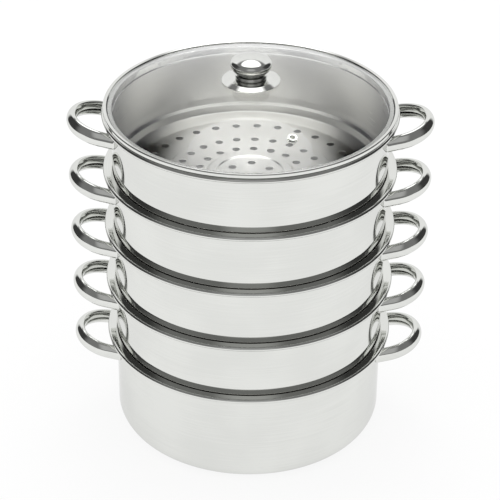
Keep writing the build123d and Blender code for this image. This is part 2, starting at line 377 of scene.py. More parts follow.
def spun_steel(bench, look, tint, roughness, spread, grain, lines, inside=False):
    """Steel with fine turned lines round the axis, soft blotches and fine scratches."""
    tint = getattr(look, tint)
    where, x, y, z, radius = bench.place()
    along = [part / radius * LINE_WAVES for part in (x, y)]
    ring = bench.vector(*along, (z + radius * LINE_LEAN) * lines)
    turned_lines = bench.noise(ring, 1.0, 3.0)
    blotches = bench.noise(where, BLOTCHES)
    spread_out = [part * cells for part, cells in zip((x, y, z), SCRATCHES)]
    scratches = bench.noise(bench.vector(*spread_out), 1.0, 4.0)
    shade = bench.smooth(turned_lines * 0.35 + blotches * 0.65, 0.35, 0.65)
    skin = bench.blend(shade, opaque(tint, DARKER), opaque(tint, LIGHTER))
    # 0 on average, since each noise is about 0.5
    uneven = turned_lines * 0.5 + blotches * 0.8 + scratches * 0.3 - 0.8
    height = turned_lines + scratches * 0.4
    if inside:
        marks = weld_marks(bench, y, z, radius)
        skin = bench.blend(marks * WELD_TINT, skin, opaque(tint, WELD_TONE))
        height = height - marks * WELD_HEIGHT
    bench.surface(
        {
            "Base Color": skin,
            "Metallic": 1.0,
            "Roughness": getattr(look, roughness) + spread * uneven,
            "Specular Tint": opaque([look.edge] * 3),
            "Anisotropic": look.streak if inside else 0.0,
            "Anisotropic Rotation": QUARTER,
            "Normal": bench.bump(look.grain * grain, GRAIN_DEPTH, height),
        }
    )


def clear_glass(bench, look):
    """Tempered glass: clear, a little green, with faint dust that roughens it."""
    haze = bench.smooth(bench.noise(bench.place()[0], 9.0, 3.0), 0.5, 0.8)
    bench.surface(
        {
            "Base Color": opaque(look.glass),
            "Roughness": haze * 0.012,
            "IOR": 1.42,
            "Transmission Weight": 1.0,
        }
    )


def soft_seal(bench, look):
    """Silicone rubber: pale, a little see-through, with a fine matt grain."""
    grain = bench.noise(bench.place()[0], 2500.0)
    bench.surface(
        {
            "Base Color": bench.blend(grain, opaque(look.seal, 0.93), opaque(look.seal)),
            "Roughness": 0.45 + grain * 0.15,
            "Subsurface Weight": 0.2,
            "Subsurface Scale": 0.002,
            "Normal": bench.bump(0.15, 0.0001, grain),
        }
    )


def seen(bench):
    """1 for rays that show the backdrop itself: camera, mirror and glass rays."""
    kinds = ("Camera", "Glossy", "Transmission")
    rays = [bench.node("LightPath", output=f"Is {kind} Ray") for kind in kinds]
    return bench.maths("MAXIMUM", bench.maths("MAXIMUM", rays[0], rays[1]), rays[2])


def pale_floor(bench, look):
    """White where it is seen, with a little of the object's shadow kept."""
    stage = sizes("stage")
    white = opaque(stage.backdrop)
    matt = bench.node("BsdfDiffuse", {"Color": white})
    glow = bench.node("Emission", {"Color": white, "Strength": 1.0})
    part = seen(bench) * stage.floor_glow
    skin = bench.node("MixShader", {0: part, 1: matt, 2: glow})
    bench.node("OutputMaterial", {"Surface": skin})


# Maker of each material; a steel's colour, roughness, its spread, grain, lines per metre
FINISHES = {
    "polished_steel": (spun_steel, "steel", "polish", 0.04, 1.0, 900.0),
    "satin_steel": (spun_steel, "satin", "satin_roughness", 0.10, 3.0, 1500.0, True),
    # Painted shade: the satin steel's roughness with the darker underside colour
    "dull_steel": (spun_steel, "dull", "satin_roughness", 0.10, 1.0, 1500.0),
    "buffed_steel": (spun_steel, "steel", "buffing", 0.04, 0.6, 400.0),
    "clear_glass": (clear_glass,),
    "soft_seal": (soft_seal,),
    "floor": (pale_floor,),
}


def finish_of(name):
    """The material of that name, made once."""
    found = bpy.data.materials.get(name)
    if found is None:
        make, *values = FINISHES[name]
        found = bpy.data.materials.new(name)
        found.use_nodes = True
        make(Bench(found.node_tree), sizes("finish"), *values)
    return found


def grid_faces(rows, columns, first=0, inward=False):
    """Quads between neighbours of a grid of points that is stored row by row."""
    spot = first + np.arange(rows * columns).reshape(rows, columns)
    ring = [spot[:-1, :-1], spot[:-1, 1:], spot[1:, 1:], spot[1:, :-1]]
    return np.stack(ring[::-1] if inward else ring, -1).reshape(-1, 4)


class Patchwork:
    """Grids of points that are gathered into one mesh and welded where they meet."""

    def __init__(self):
        self.points = []
        self.faces = []
        self.finishes = []
        self.count = 0

    def add(self, points, finish=0, inward=False):
        """Add a grid (rows, columns, 3); finish is one number or one for each row's strip."""
        rows, columns = points.shape[:2]
        self.points.append(points.reshape(-1, 3))
        self.faces.append(grid_faces(rows, columns, self.count, inward))
        strips = np.broadcast_to(np.asarray(finish), (rows - 1,))
        self.finishes.append(np.repeat(strips, columns - 1))
        self.count += rows * columns

    def add_kept(self, grid, kept, finish=0):
        """Add the row strips of a grid that are kept."""
        finish = np.broadcast_to(finish, len(kept))
        edges = np.flatnonzero(np.diff(np.concatenate([[0], kept.astype(int), [0]])))
        for begin, end in zip(edges[::2], edges[1::2]):
            self.add(grid[begin : end + 1], finish[begin:end])

    def mesh(self, name):
        """One closed mesh: equal points merged, so that quads at a pole become triangles."""
        points, faces = np.concatenate(self.points), np.concatenate(self.faces)
        made = bpy.data.meshes.new(name)
        made.from_pydata(points, [], faces)
        made.polygons.foreach_set("material_index", np.concatenate(self.finishes).astype(np.int32))
        made.polygons.foreach_set("use_smooth", np.ones(len(faces), bool))
        welded = bmesh.new()
        welded.from_mesh(made)
        bmesh.ops.remove_doubles(welded, verts=welded.verts, dist=MERGE)
        welded.to_mesh(made)
        welded.free()
        return made


def rounded_line(corners, radii, curl=None):
    """Points and left normals of straight runs joined by tangent arcs.

    An arc's centre lies one radius square off the run at the point radius * tan(turn / 2)
    before the corner. A guard point beside each arc and end keeps the run's shading flat.
    curl adds an end arc (radius, turn), with a left turn positive.
    """
    corners = np.asarray(corners, float)
    runs = np.diff(corners, axis=0)
    along = runs / np.linalg.norm(runs, axis=1)[:, None]
    left = np.stack([-along[:, 1], along[:, 0]], 1)
    points, normals = [], []

    def put(point, normal):
        points.append(point[None])
        normals.append(normal[None])

    def arc(start, side, radius, turn):
        swing = np.linspace(0.0, turn, max(2, ceil(abs(turn) / ARC_STEP)) + 1)
        x = side[0] * np.cos(swing) - side[1] * np.sin(swing)
        y = side[0] * np.sin(swing) + side[1] * np.cos(swing)
        normal = np.stack([x, y], 1)
        signed = copysign(radius, turn)
        points.append(start + signed * side - signed * normal)
        normals.append(normal)

    put(corners[0], left[0])
    put(corners[0] + along[0] * GUARD, left[0])
    for i, radius in enumerate(radii):
        before, after = along[i], along[i + 1]
        turn = atan2(before[0] * after[1] - before[1] * after[0], before @ after)
        corner = corners[i + 1]
        if radius == 0 or abs(turn) < MERGE:
            put(corner, left[i])
            continue
        reach = radius * tan(abs(turn) / 2)
        start = corner - before * reach
        put(start - before * GUARD, left[i])
        arc(start, left[i], radius, turn)
        put(corner + after * (reach + GUARD), left[i + 1])
    put(corners[-1] - along[-1] * GUARD, left[-1])
    if curl:
        arc(corners[-1], left[-1], *curl)
    else:
        put(corners[-1], left[-1])
    return np.concatenate(points), np.concatenate(normals)


def sheet_loop(line, thickness):
    """Closed section of a sheet whose outer side is a line and whose inner side is to its left."""
    points, normals = line
    return np.concatenate([points, (points + normals * thickness)[::-1]])


def turns(start=0.0, first=0, last=AROUND):
    """Angles of the grid lines round the axis."""
    return start + np.arange(first, last + 1) * (2 * pi / AROUND)


def turned(profile, around=turns(), closed=False):
    """Surface of revolution: (r cos a, r sin a, z) for each profile point and each angle a."""
    if closed:
        profile = np.concatenate([profile, profile[:1]])
    radius, height = profile[:, :1], profile[:, 1:]
    flat = np.broadcast_to(height, (len(profile), len(around)))
    return np.stack([radius * np.cos(around), radius * np.sin(around), flat], -1)


def outward_steps(inner, outer):
    """Radii from inner to outer, in cells about twice as long as the grid is wide there."""
    cells = max(3, round((outer - inner) / ((inner + outer) * 2 * pi / AROUND)))
    return np.linspace(inner, outer, cells + 1)


def pierced_patch(span, zone, start, hole, edge, faces, blends=(0.0,)):
    """Sector of a sheet with one round hole, from its top face through the hole to its under face.

    Each row is a blend, point by point, between the sector's outline and the circle
    seen in the same direction from the hole's middle. faces gives the height of the top
    and of the under face at a radius; hole is (radius, circle above, circle below, turn).
    """
    (first, last), (inner, outer) = span, zone
    outward, arc = outward_steps(inner, outer), np.arange(first, last + 1)
    cells, wide = len(outward) - 1, last - first
    radius = [outward[:-1], np.full(wide, outer), outward[:0:-1], np.full(wide, inner), [inner]]
    index = [np.full(cells, first), arc[:-1], np.full(cells, last), arc[:0:-1], [first]]
    radius, turn = np.concatenate(radius), start + np.concatenate(index) * (2 * pi / AROUND)
    outline = np.stack([radius * np.cos(turn), radius * np.sin(turn)], 1)
    hole_radius, above, below, hole_turn = hole
    rows = []
    for circle, face, into in ((above, faces[0], -1.0), (below, faces[1], 1.0)):
        middle = circle * np.array([cos(hole_turn), sin(hole_turn)])
        view = outline - middle
        view = view / np.linalg.norm(view, axis=1)[:, None]
        lip = middle + view * (hole_radius + edge + GUARD)
        rings = [(outline * (1 - t) + lip * t, 0.0) for t in (*blends, 1.0)]
        for lean in (0.0, pi / 4, pi / 2):
            ring = middle + view * (hole_radius + edge * (1 - sin(lean)))
            rings.append((ring, into * edge * (1 - cos(lean))))
        heights = [face(np.linalg.norm(ring, axis=1)) + sunk for ring, sunk in rings]
        rows.append([np.column_stack([ring[0], z]) for ring, z in zip(rings, heights)])
    return np.stack(rows[0] + rows[1][::-1])


def new_piece(name, mesh, body, finishes, nodes):
    """An object of that mesh that rides on a body and stands for solids of the frame."""
    piece = bpy.data.objects.new(name, mesh)
    bpy.context.scene.collection.objects.link(piece)
    for finish in finishes:
        mesh.materials.append(finish_of(finish))
    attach(piece, body)
    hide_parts(*nodes)


def lid_piece(name, grid, finish, node, place=Matrix()):
    """A piece of the lid whose surface is one grid of points."""
    work = Patchwork()
    work.add(grid)
    mesh = work.mesh(name)
    mesh.transform(place)
    new_piece(name, mesh, "lid", [finish], [node])


def lift(height):
    """A move straight up."""
    return Matrix.Translation((0.0, 0.0, height))


class Rim:
    """Section sizes that every vessel shares; heights count from the rim's top."""

    def __init__(self, v):
        self.body = v.bore_radius + v.sheet
        self.curl = v.bead_radius - v.sheet
        self.slope = v.flange_angle
        self.end_r = v.rim_radius - v.bead_radius - self.curl * sin(self.slope)
        self.end_z = -v.bead_radius + self.curl * cos(self.slope)
        self.sheet = v.sheet
        centre_r = v.bore_radius + v.mouth_bend
        centre_z = self.over(centre_r) - v.mouth_bend
        reach = v.mouth_bend + v.shoulder_bend + v.seat_gap
        offset = centre_r - (self.body - v.shoulder_bend)
        rise = sqrt(reach**2 - offset**2)
        self.shoulder_z = -v.tier_pitch + centre_z + rise - v.shoulder_bend
        self.floor_z = self.shoulder_z - v.spigot_depth

    def under(self, radius):
        """Height of the flange's under face."""
        return self.end_z + (radius - self.end_r) * tan(self.slope)

    def over(self, radius):
        """Height of the flange's upper face."""
        return self.under(radius) + self.sheet / cos(self.slope)


def tier_tops():
    """Rim height of every vessel by the name of its body, the pot first."""
    v = sizes("vessel")
    names = ["pot", *sorted(name for name in frame["bodies"] if name.startswith("tier_"))]
    return {name: v.pot_height + number * v.tier_pitch for number, name in enumerate(names)}


def vessel_section(v, rim, corners, radii):
    """Section of a vessel from the axis, out and up its outside, over the rim and back inside."""
    corners = [*corners, (rim.body, rim.under(rim.body)), (rim.end_r, rim.end_z)]
    radii = [*radii, v.mouth_bend - v.sheet]
    line = rounded_line(corners, radii, curl=(rim.curl, -v.bead_curl))
    return sheet_loop(line, v.sheet), len(line[0])


def inside_finish(section, outside, rim):
    """SATIN for each strip of a section that is inside, and 0, polished, for the others."""
    strip = np.arange(len(section) - 1)
    inward = (strip >= outside) & (section[1:, 0] < rim.body + 0.5 * MILLIMETRE)
    return inward * SATIN


class STEAMER_OT_stock_pot(Operator):
    """Build the stock pot: a flat base, a round corner, a straight wall and a curled rim"""

    bl_idname = "steamer.stock_pot"
    bl_label = "Stock pot"

    def execute(self, context):
        v = sizes("vessel")
        rim = Rim(v)
        corners = [(radius, -v.pot_height) for radius in (0.0, rim.body * 0.5, rim.body)]
        section, outside = vessel_section(v, rim, corners, [0.0, v.pot_corner])
        work = Patchwork()
        work.add(turned(section), inside_finish(section, outside, rim))
        mesh = work.mesh("pot_shell")
        mesh.transform(lift(v.pot_height))
        new_piece("pot_shell", mesh, "pot", VESSEL_FINISHES[:2], ["stock_pot"])
        return {"FINISHED"}


class STEAMER_OT_tiers(Operator):
    """Build the steamer tiers, each with a stepped spigot and a pressed, perforated floor"""

    bl_idname = "steamer.tiers"
    bl_label = "Steamer tiers"

    def execute(self, context):
        v = sizes("vessel")
        rim = Rim(v)
        low, raised = rim.floor_z, rim.floor_z + v.press_height
        high = raised + v.press_height
        shares = (v.slope_share, v.step_share, v.rib_outer_share, v.rib_inner_share)
        slope, step, rib_out, rib_in = (each * v.spigot_radius for each in shares)
        circles = [each * v.spigot_radius for each in v.hole_shares]
        hole = v.hole_radius
        margins = (2 * hole, hole + 1.5 * v.press_height, 2 * hole, 3 * hole)
        zones = [(circle - margin, circle + margin) for circle, margin in zip(circles, margins)]
        flats = [[(radius, raised) for radius in zone] for zone in zones[:3]]
        corners = [(0.0, raised), *flats[0]]
        corners += [(rib_in - slope, raised), (rib_in, high), (rib_out, high)]
        corners += [(rib_out + slope, raised), *flats[1], *flats[2]]
        corners += [(step, raised), (step + slope, low), *((radius, low) for radius in zones[3])]
        corners += [
            (v.apron_share * v.spigot_radius, low),
            (v.spigot_radius, low + v.apron_rise),
            (v.spigot_radius, rim.shoulder_z),
            (rim.body - v.shoulder_draw, rim.shoulder_z),
            (rim.body, rim.shoulder_z + v.draw_height),
        ]
        pressed = [v.press_bend] * 2
        radii = [0, 0, *pressed, *pressed, 0, 0, 0, 0, *pressed, 0, 0]
        radii += [v.apron_bend, v.floor_bend, v.root_bend - v.sheet, v.shoulder_bend, v.draw_bend]
        section, outside = vessel_section(v, rim, corners, radii)
        finish = inside_finish(section, outside, rim)
        # Painted shade: the outside of the spigot and the underside of the floor get the darker
        # steel
        beneath = (np.arange(len(finish)) < outside) & (section[1:, 1] < rim.shoulder_z - v.sheet)
        finish = np.where(beneath, UNDERSIDE_SHADE, finish)
        middle = 0.5 * (section[:-1, 0] + section[1:, 0])
        whole = np.ones(len(middle), bool)
        for inner, outer in zones:
            whole &= (middle <= inner) | (middle >= outer)
        work = Patchwork()
        work.add_kept(turned(section, turns(v.hole_turn)), whole, finish)
        for zone, circle, count in zip(zones, circles, v.hole_counts):
            base = low if circle > step else raised
            faces = (lambda r, z=base + v.sheet: z + 0 * r, lambda r, z=base: z + 0 * r)
            width = AROUND // count
            for centre in range(0, count * width, width):
                span = (centre - width // 2, centre - width // 2 + width)
                punch = (hole, circle, circle, v.hole_turn + centre * 2 * pi / AROUND)
                patch = pierced_patch(span, zone, v.hole_turn, punch, v.hole_edge, faces)
                # Painted shade: the lower half of each hole's lip and the floor's underside round
                # it get the darker steel
                work.add(patch, [SATIN] * 5 + [UNDERSIDE_SHADE] * 4)
        shell = work.mesh("tier_shell")
        for name, top in list(tier_tops().items())[1:]:
            piece, mesh = f"{name}_shell", shell.copy()
            mesh.name = piece
            mesh.transform(lift(top))
            new_piece(piece, mesh, name, VESSEL_FINISHES, [f"steamer_{name}"])
        bpy.data.meshes.remove(shell)
        return {"FINISHED"}


def side_round(h):
    """Radius of the strap's long sides: they touch the thickness and both tip arcs."""
    half_width, tip_offset = h.thickness / 2, h.height / 2 - h.tip_round
    return (half_width**2 + tip_offset**2 - h.tip_round**2) / (2 * (half_width - h.tip_round))


def oval(normal, h, inset=0.0):
    """Points of an oval of four tangent arcs, by the angle of the outward normal."""
    half_width, half_height, tip, side = h.thickness / 2, h.height / 2, h.tip_round, side_round(h)
    lean = atan2(half_height - tip, side - half_width)
    flat = np.abs(normal)
    on_side = (flat < lean) | (flat > pi - lean)
    centre_x = np.where(on_side, np.where(flat < lean, 1.0, -1.0) * (half_width - side), 0.0)
    centre_y = np.where(on_side, 0.0, np.sign(normal) * (half_height - tip))
    radius = np.where(on_side, side, tip) - inset
    return np.stack([centre_x + radius * np.cos(normal), centre_y + radius * np.sin(normal)], 1)


def strap_section(h):
    """Section of the pressed strap: outer oval, rolled lip, inner oval and the other lip.

    A lip is a circle that touches the outer oval from inside; it sweeps round the slot
    until it meets the inner oval.
    """
    side = side_round(h)
    orbit = side - h.lip_radius
    lip_height = h.slot / 2 + h.lip_radius
    lip_turn = pi - asin(lip_height / orbit)
    inner = side - h.sheet
    along = (orbit**2 + inner**2 - h.lip_radius**2) / (2 * orbit)
    meet = sqrt(inner**2 - along**2)
    sweep = 2 * pi - atan2(meet, along - orbit)
    inner_turn = lip_turn - asin(meet / inner)
    samples = 73
    middle = np.array([side - h.thickness / 2 + orbit * cos(lip_turn), lip_height])
    around = lip_turn + np.linspace(0.0, sweep, 22)[1:-1]
    lip = middle + h.lip_radius * np.stack([np.cos(around), np.sin(around)], 1)
    outer_side = oval(np.linspace(-lip_turn, lip_turn, samples), h)
    inner_side = oval(np.linspace(inner_turn, -inner_turn, samples), h, h.sheet)
    other = (lip * (1, -1))[::-1]
    return outer_side, lip, inner_side, other


class Grip:
    """One loop handle on its wall: body is the wall's radius and top the rim's height."""

    def __init__(self, h, body, top, side):
        self.h, self.body, self.top, self.side = h, body, top, side

    def wall(self, across, b):
        """How far out the wall is met."""
        wall, tilt = self.body + self.h.weld_gap, self.h.tilt
        return (np.sqrt(wall**2 - across**2) - self.body + b * sin(tilt)) / cos(tilt)

    def place(self, out, across, b):
        """Tilt the loop's plane and set it on the wall; b is square to the loop."""
        tilt = self.h.tilt
        x = self.body + out * cos(tilt) - b * sin(tilt)
        z = self.top - self.h.drop + out * sin(tilt) + b * cos(tilt)
        return np.stack([self.side * x, self.side * across, z], -1)

    def loop(self, section):
        """Points of a section carried along the near leg, half circle and far leg.

        A section point (a, b) lies spread + a off the loop's middle. On a leg it runs from
        the wall to the bend; there it is the bend's centre + (spread + a) * (cos t, sin t).
        """
        h, b = self.h, section[:, 1]
        bend = h.reach - h.thickness / 2 - h.spread
        off = h.spread + section[:, 0]
        start = self.wall(off, b)
        leg = start + (bend - start) * np.linspace(0.0, 1.0, 7)[:-1, None]
        swing = np.linspace(-pi / 2, pi / 2, 49)[:, None]
        legs = np.broadcast_to(off, leg.shape)
        out = np.concatenate([leg, bend + off * np.cos(swing), leg[::-1]])
        return self.place(out, np.concatenate([-legs, off * np.sin(swing), legs]), b)

    def foot(self, leg):
        """Plug that closes a leg: rings of the inner oval from its middle out, along, back in."""
        ring = oval(np.linspace(-pi, pi, 49), self.h, self.h.sheet + self.h.weld_gap)
        rows = []
        for scale, depth in FOOT_RINGS:
            a, b = (ring * scale).T
            across = leg * (self.h.spread + a)
            rows.append(self.place(self.wall(across, b) + depth * self.h.foot, across, b))
        return np.stack(rows)


class STEAMER_OT_handles(Operator):
    """Build the pressed loop handles, hollow and open along the inside between rolled lips"""

    bl_idname = "steamer.handles"
    bl_label = "Loop handles"

    def execute(self, context):
        h = sizes("handle")
        body = Rim(sizes("vessel")).body
        outer, lip, inner, other = strap_section(h)
        section = np.concatenate([outer, lip, inner, other, outer[:1]])
        rolls = [np.concatenate([outer[-1:], lip, inner[:1]])]
        rolls += [np.concatenate([inner[-1:], other, outer[:1]])]
        for name, top in tier_tops().items():
            for hand, side in (("left", -1), ("right", 1)):
                grip = Grip(h, body, top, side)
                work = Patchwork()
                work.add(grip.loop(section), inward=True)
                for end in (0, -1):
                    cap = [grip.loop(line)[end] for line in (outer, inner[::-1])]
                    work.add(np.stack(cap), inward=end == 0)
                    for arc in rolls:
                        hub = np.broadcast_to(arc[:1], arc.shape)
                        fan = [grip.loop(line)[end] for line in (hub, arc)]
                        work.add(np.stack(fan), inward=end == -1)
                for leg in (-1, 1):
                    work.add(grip.foot(leg), inward=leg == -1)
                piece, nodes = f"{name}_grip_{hand}", [f"{name}_handle_{hand}"]
                new_piece(piece, work.mesh(piece), name, ["buffed_steel"], nodes)
        return {"FINISHED"}


class Lid:
    """Heights of the lid's pieces, worked out as the solids are."""

    def __init__(self):
        v, lid, knob = sizes("vessel"), sizes("lid"), sizes("knob")
        rim = Rim(v)
        self.rim_top = max(tier_tops().values())
        self.band_radius = v.rim_radius - lid.band_inset
        self.band = self.rim_top + min(rim.over(self.band_radius), 0.0) + v.seat_gap
        self.glass_radius = self.band_radius - lid.band_sheet - lid.side_gap
        self.land = self.band + lid.band_sheet + lid.fit
        self.sphere = (self.glass_radius**2 + lid.dome_height**2) / (2 * lid.dome_height)
        self.crown = self.land + lid.edge_height + lid.dome_height
        self.middle = self.crown - self.sphere
        self.vent_radius = self.glass_radius - lid.vent_inset
        self.thickness = lid.glass_thickness
        self.seal_top = self.crown + knob.seal_thickness
        self.plate_top = self.seal_top + knob.plate_sheet
        self.collar_top = self.plate_top + knob.collar_height
        self.knob_base = self.collar_top + knob.neck_height
        self.under_crown = self.crown - lid.glass_thickness
        self.under_seal = self.under_crown - knob.seal_thickness
        self.under_washer = self.under_seal - knob.washer_thickness
        self.bore = knob.screw_radius + knob.screw_play
        self.insert_bore = knob.insert_radius + knob.gap

    def ball(self, radius, inset=0.0):
        """Height of the glass's outer sphere, drawn in by a distance, at a radius."""
        return self.middle + np.sqrt((self.sphere - inset) ** 2 - radius**2)


class STEAMER_OT_lid_glass(Operator):
    """Build the tempered glass dome with its ground edge and its two holes"""

    bl_idname = "steamer.lid_glass"
    bl_label = "Lid glass"

    def execute(self, context):
        lid, bore = sizes("lid"), sizes("knob").hole_radius
        at = Lid()
        thick, edge, turn = lid.glass_thickness, lid.glass_edge, lid.vent_angle
        reach = 2.5 * lid.vent_flange
        zone = (at.vent_radius - reach, at.vent_radius + reach)
        rim_in = sqrt((at.sphere - thick) ** 2 - (at.land - at.middle) ** 2)
        out = np.linspace(0.1, 0.98, 22) * at.glass_radius
        out = np.append([bore + edge, bore + 2 * edge], out)
        out = np.sort(np.append(out[(out < zone[0] - edge) | (out > zone[1] + edge)], zone))
        top = np.column_stack([out, at.ball(out)])
        inner = out[out < rim_in - edge]
        under = np.column_stack([inner, at.ball(inner, thick)])
        corners = [top[-1], (at.glass_radius, at.ball(at.glass_radius))]
        corners += [(at.glass_radius, at.land), (rim_in, at.land), under[-1]]
        rim_line = rounded_line(corners, [2 * edge, edge, edge / 2])[0]
        corners = [under[0], (bore, at.ball(bore, thick)), (bore, at.ball(bore)), top[0]]
        hole_line = rounded_line(corners, [edge / 2, edge / 2])[0]
        # up the hole, out over the top and back under; reversed, so that faces look outward
        section = np.concatenate([hole_line[:-1], top, rim_line[1:-1], under[::-1]])[::-1]
        middle = 0.5 * (section[:-1, 0] + section[1:, 0])
        work = Patchwork()
        whole = (middle < zone[0]) | (middle > zone[1])
        work.add_kept(turned(section, turns(turn)), whole)
        faces = (at.ball, lambda radius: at.ball(radius, thick))
        below = (at.sphere - thick) * at.vent_radius / at.sphere
        hole = (lid.vent_tube + lid.fit, at.vent_radius, below, turn)
        span = (-VENT_CELLS, VENT_CELLS)
        work.add(pierced_patch(span, zone, turn, hole, edge / 2, faces, (0, 0.35, 0.7)))
        outward = outward_steps(*zone)
        around = turns(turn, VENT_CELLS, AROUND - VENT_CELLS)
        for face, radii in ((faces[0], outward[::-1]), (faces[1], outward)):
            work.add(turned(np.column_stack([radii, face(radii)]), around))
        mesh = work.mesh("lid_dome")
        new_piece("lid_dome", mesh, "lid", ["clear_glass"], ["lid_glass"])
        return {"FINISHED"}


class STEAMER_OT_lid_band(Operator):
    """Build the roll-formed steel band that holds the glass and centres the lid in the mouth"""

    bl_idname = "steamer.lid_band"
    bl_label = "Lid band"

    def execute(self, context):
        lid = sizes("lid")
        at = Lid()
        base, outer = at.band, at.band_radius
        skirt = sizes("vessel").bore_radius - lid.skirt_gap
        lip = outer - lid.lip_width
        corners = [
            (skirt - lid.skirt_curl, base - lid.skirt_depth - lid.skirt_curl),
            (skirt, base - lid.skirt_depth),
            (skirt, base),
            (outer, base),
            (outer, base + lid.band_height),
            (lip, at.ball(lip) + lid.fit + lid.band_sheet),
        ]
        small = lid.band_sheet / 2
        line = rounded_line(corners, [small, small, lid.band_foot_bend, lid.band_bend])
        grid = turned(sheet_loop(line, lid.band_sheet), closed=True)
        lid_piece("lid_band", grid, "polished_steel", "lid_rim_band")
        return {"FINISHED"}


class STEAMER_OT_vent(Operator):
    """Build the rolled steel eyelet in the glass"""

    bl_idname = "steamer.vent"
    bl_label = "Steam vent"

    def execute(self, context):
        lid = sizes("lid")
        at = Lid()
        tube, flange, thick = lid.vent_tube, lid.vent_flange, lid.vent_sheet
        over, under = lid.fit, -lid.glass_thickness - lid.fit
        corners = [(tube, under), (flange, under), (flange, under - thick)]
        corners += [(lid.vent_bore, under - thick), (lid.vent_bore, over + thick)]
        corners += [(flange, over + thick), (flange, over), (tube, over)]
        rolled, mouth = [thick * 0.48] * 2, [0.6 * MILLIMETRE] * 2
        section = rounded_line(corners, [*rolled, *mouth, *rolled])[0][::-1]
        place = (
            Matrix.Rotation(lid.vent_angle, 4, "Z")
            @ Matrix.Translation((at.vent_radius, 0.0, float(at.ball(at.vent_radius))))
            @ Matrix.Rotation(asin(at.vent_radius / at.sphere), 4, "Y")
        )
        grid = turned(section, closed=True)
        lid_piece("vent_eyelet", grid, "buffed_steel", "lid_vent_eyelet", place)
        return {"FINISHED"}


def arc_points(centre, radius, first, last, steps):
    """Points of an arc by angle."""
    swing = np.linspace(first, last, steps + 1)
    return np.stack([centre[0] + radius * np.cos(swing), centre[1] + radius * np.sin(swing)], 1)


def knob_outline(k, at):
    """Outside of the knob from its foot to its top.

    The belly is an arc that is upright at the widest circle and passes through the foot;
    a tight arc then turns into one wide arc over the top, tangent to it and level there.
    """
    waist, inward, reach = at.knob_base + k.waist, k.radius - k.base_radius, k.radius - k.edge_round
    belly = (inward**2 + k.waist**2) / (2 * inward)
    crown = (reach**2 - k.edge_round**2 + k.dome**2) / (2 * (k.dome - k.edge_round))
    turn = atan2(crown - k.dome, reach)
    foot = -atan2(k.waist, belly - inward)
    arcs = [
        arc_points((k.radius - belly, waist), belly, foot, 0.0, 16),
        arc_points((reach, waist), k.edge_round, 0.0, turn, 14)[1:],
        arc_points((0.0, waist + k.dome - crown), crown, turn, pi / 2, 14)[1:],
    ]
    return np.concatenate(arcs)


def ring_grid(inner, outer, bottom, top, edges):
    """A turned ring with rounded edges: outer low, outer high, inner high and inner low."""
    seam = ((inner + outer) / 2, bottom)
    corners = [seam, (outer, bottom), (outer, top), (inner, top), (inner, bottom), seam]
    return turned(rounded_line(corners, edges)[0])


class STEAMER_OT_knob(Operator):
    """Build the hollow knob, its collar and the dished plate under it"""

    bl_idname = "steamer.knob"
    bl_label = "Knob"

    def execute(self, context):
        k = sizes("knob")
        at = Lid()
        small, foot = 0.2 * MILLIMETRE, at.collar_top + k.gap
        outline = knob_outline(k, at)
        bore, bore_top = at.insert_bore, at.collar_top + k.insert_height
        corners = [(0.0, bore_top), (bore, bore_top), (bore, foot), (k.neck_radius, foot)]
        corners += [(k.neck_radius, at.knob_base), outline[0], outline[1]]
        line = rounded_line(corners, [small, small, small, small, 1.5 * small])[0]
        section = np.concatenate([line[:-1], outline[1:]])
        section[-1, 0] = 0.0
        lid_piece("knob_head", turned(section), "buffed_steel", "knob")

        edges = [k.collar_round, k.collar_round, small, small]
        grid = ring_grid(bore, k.collar_radius, at.plate_top + k.gap, at.collar_top, edges)
        lid_piece("knob_ring", grid, "buffed_steel", "knob_collar")

        corners = [(at.bore, at.seal_top), (k.plate_hub, at.seal_top)]
        corners += [(k.plate_radius, at.seal_top - k.plate_drop)]
        section = sheet_loop(rounded_line(corners, [k.plate_bend]), k.plate_sheet)
        grid = turned(section, closed=True)
        lid_piece("knob_dish", grid, "buffed_steel", "knob_base_plate")
        return {"FINISHED"}


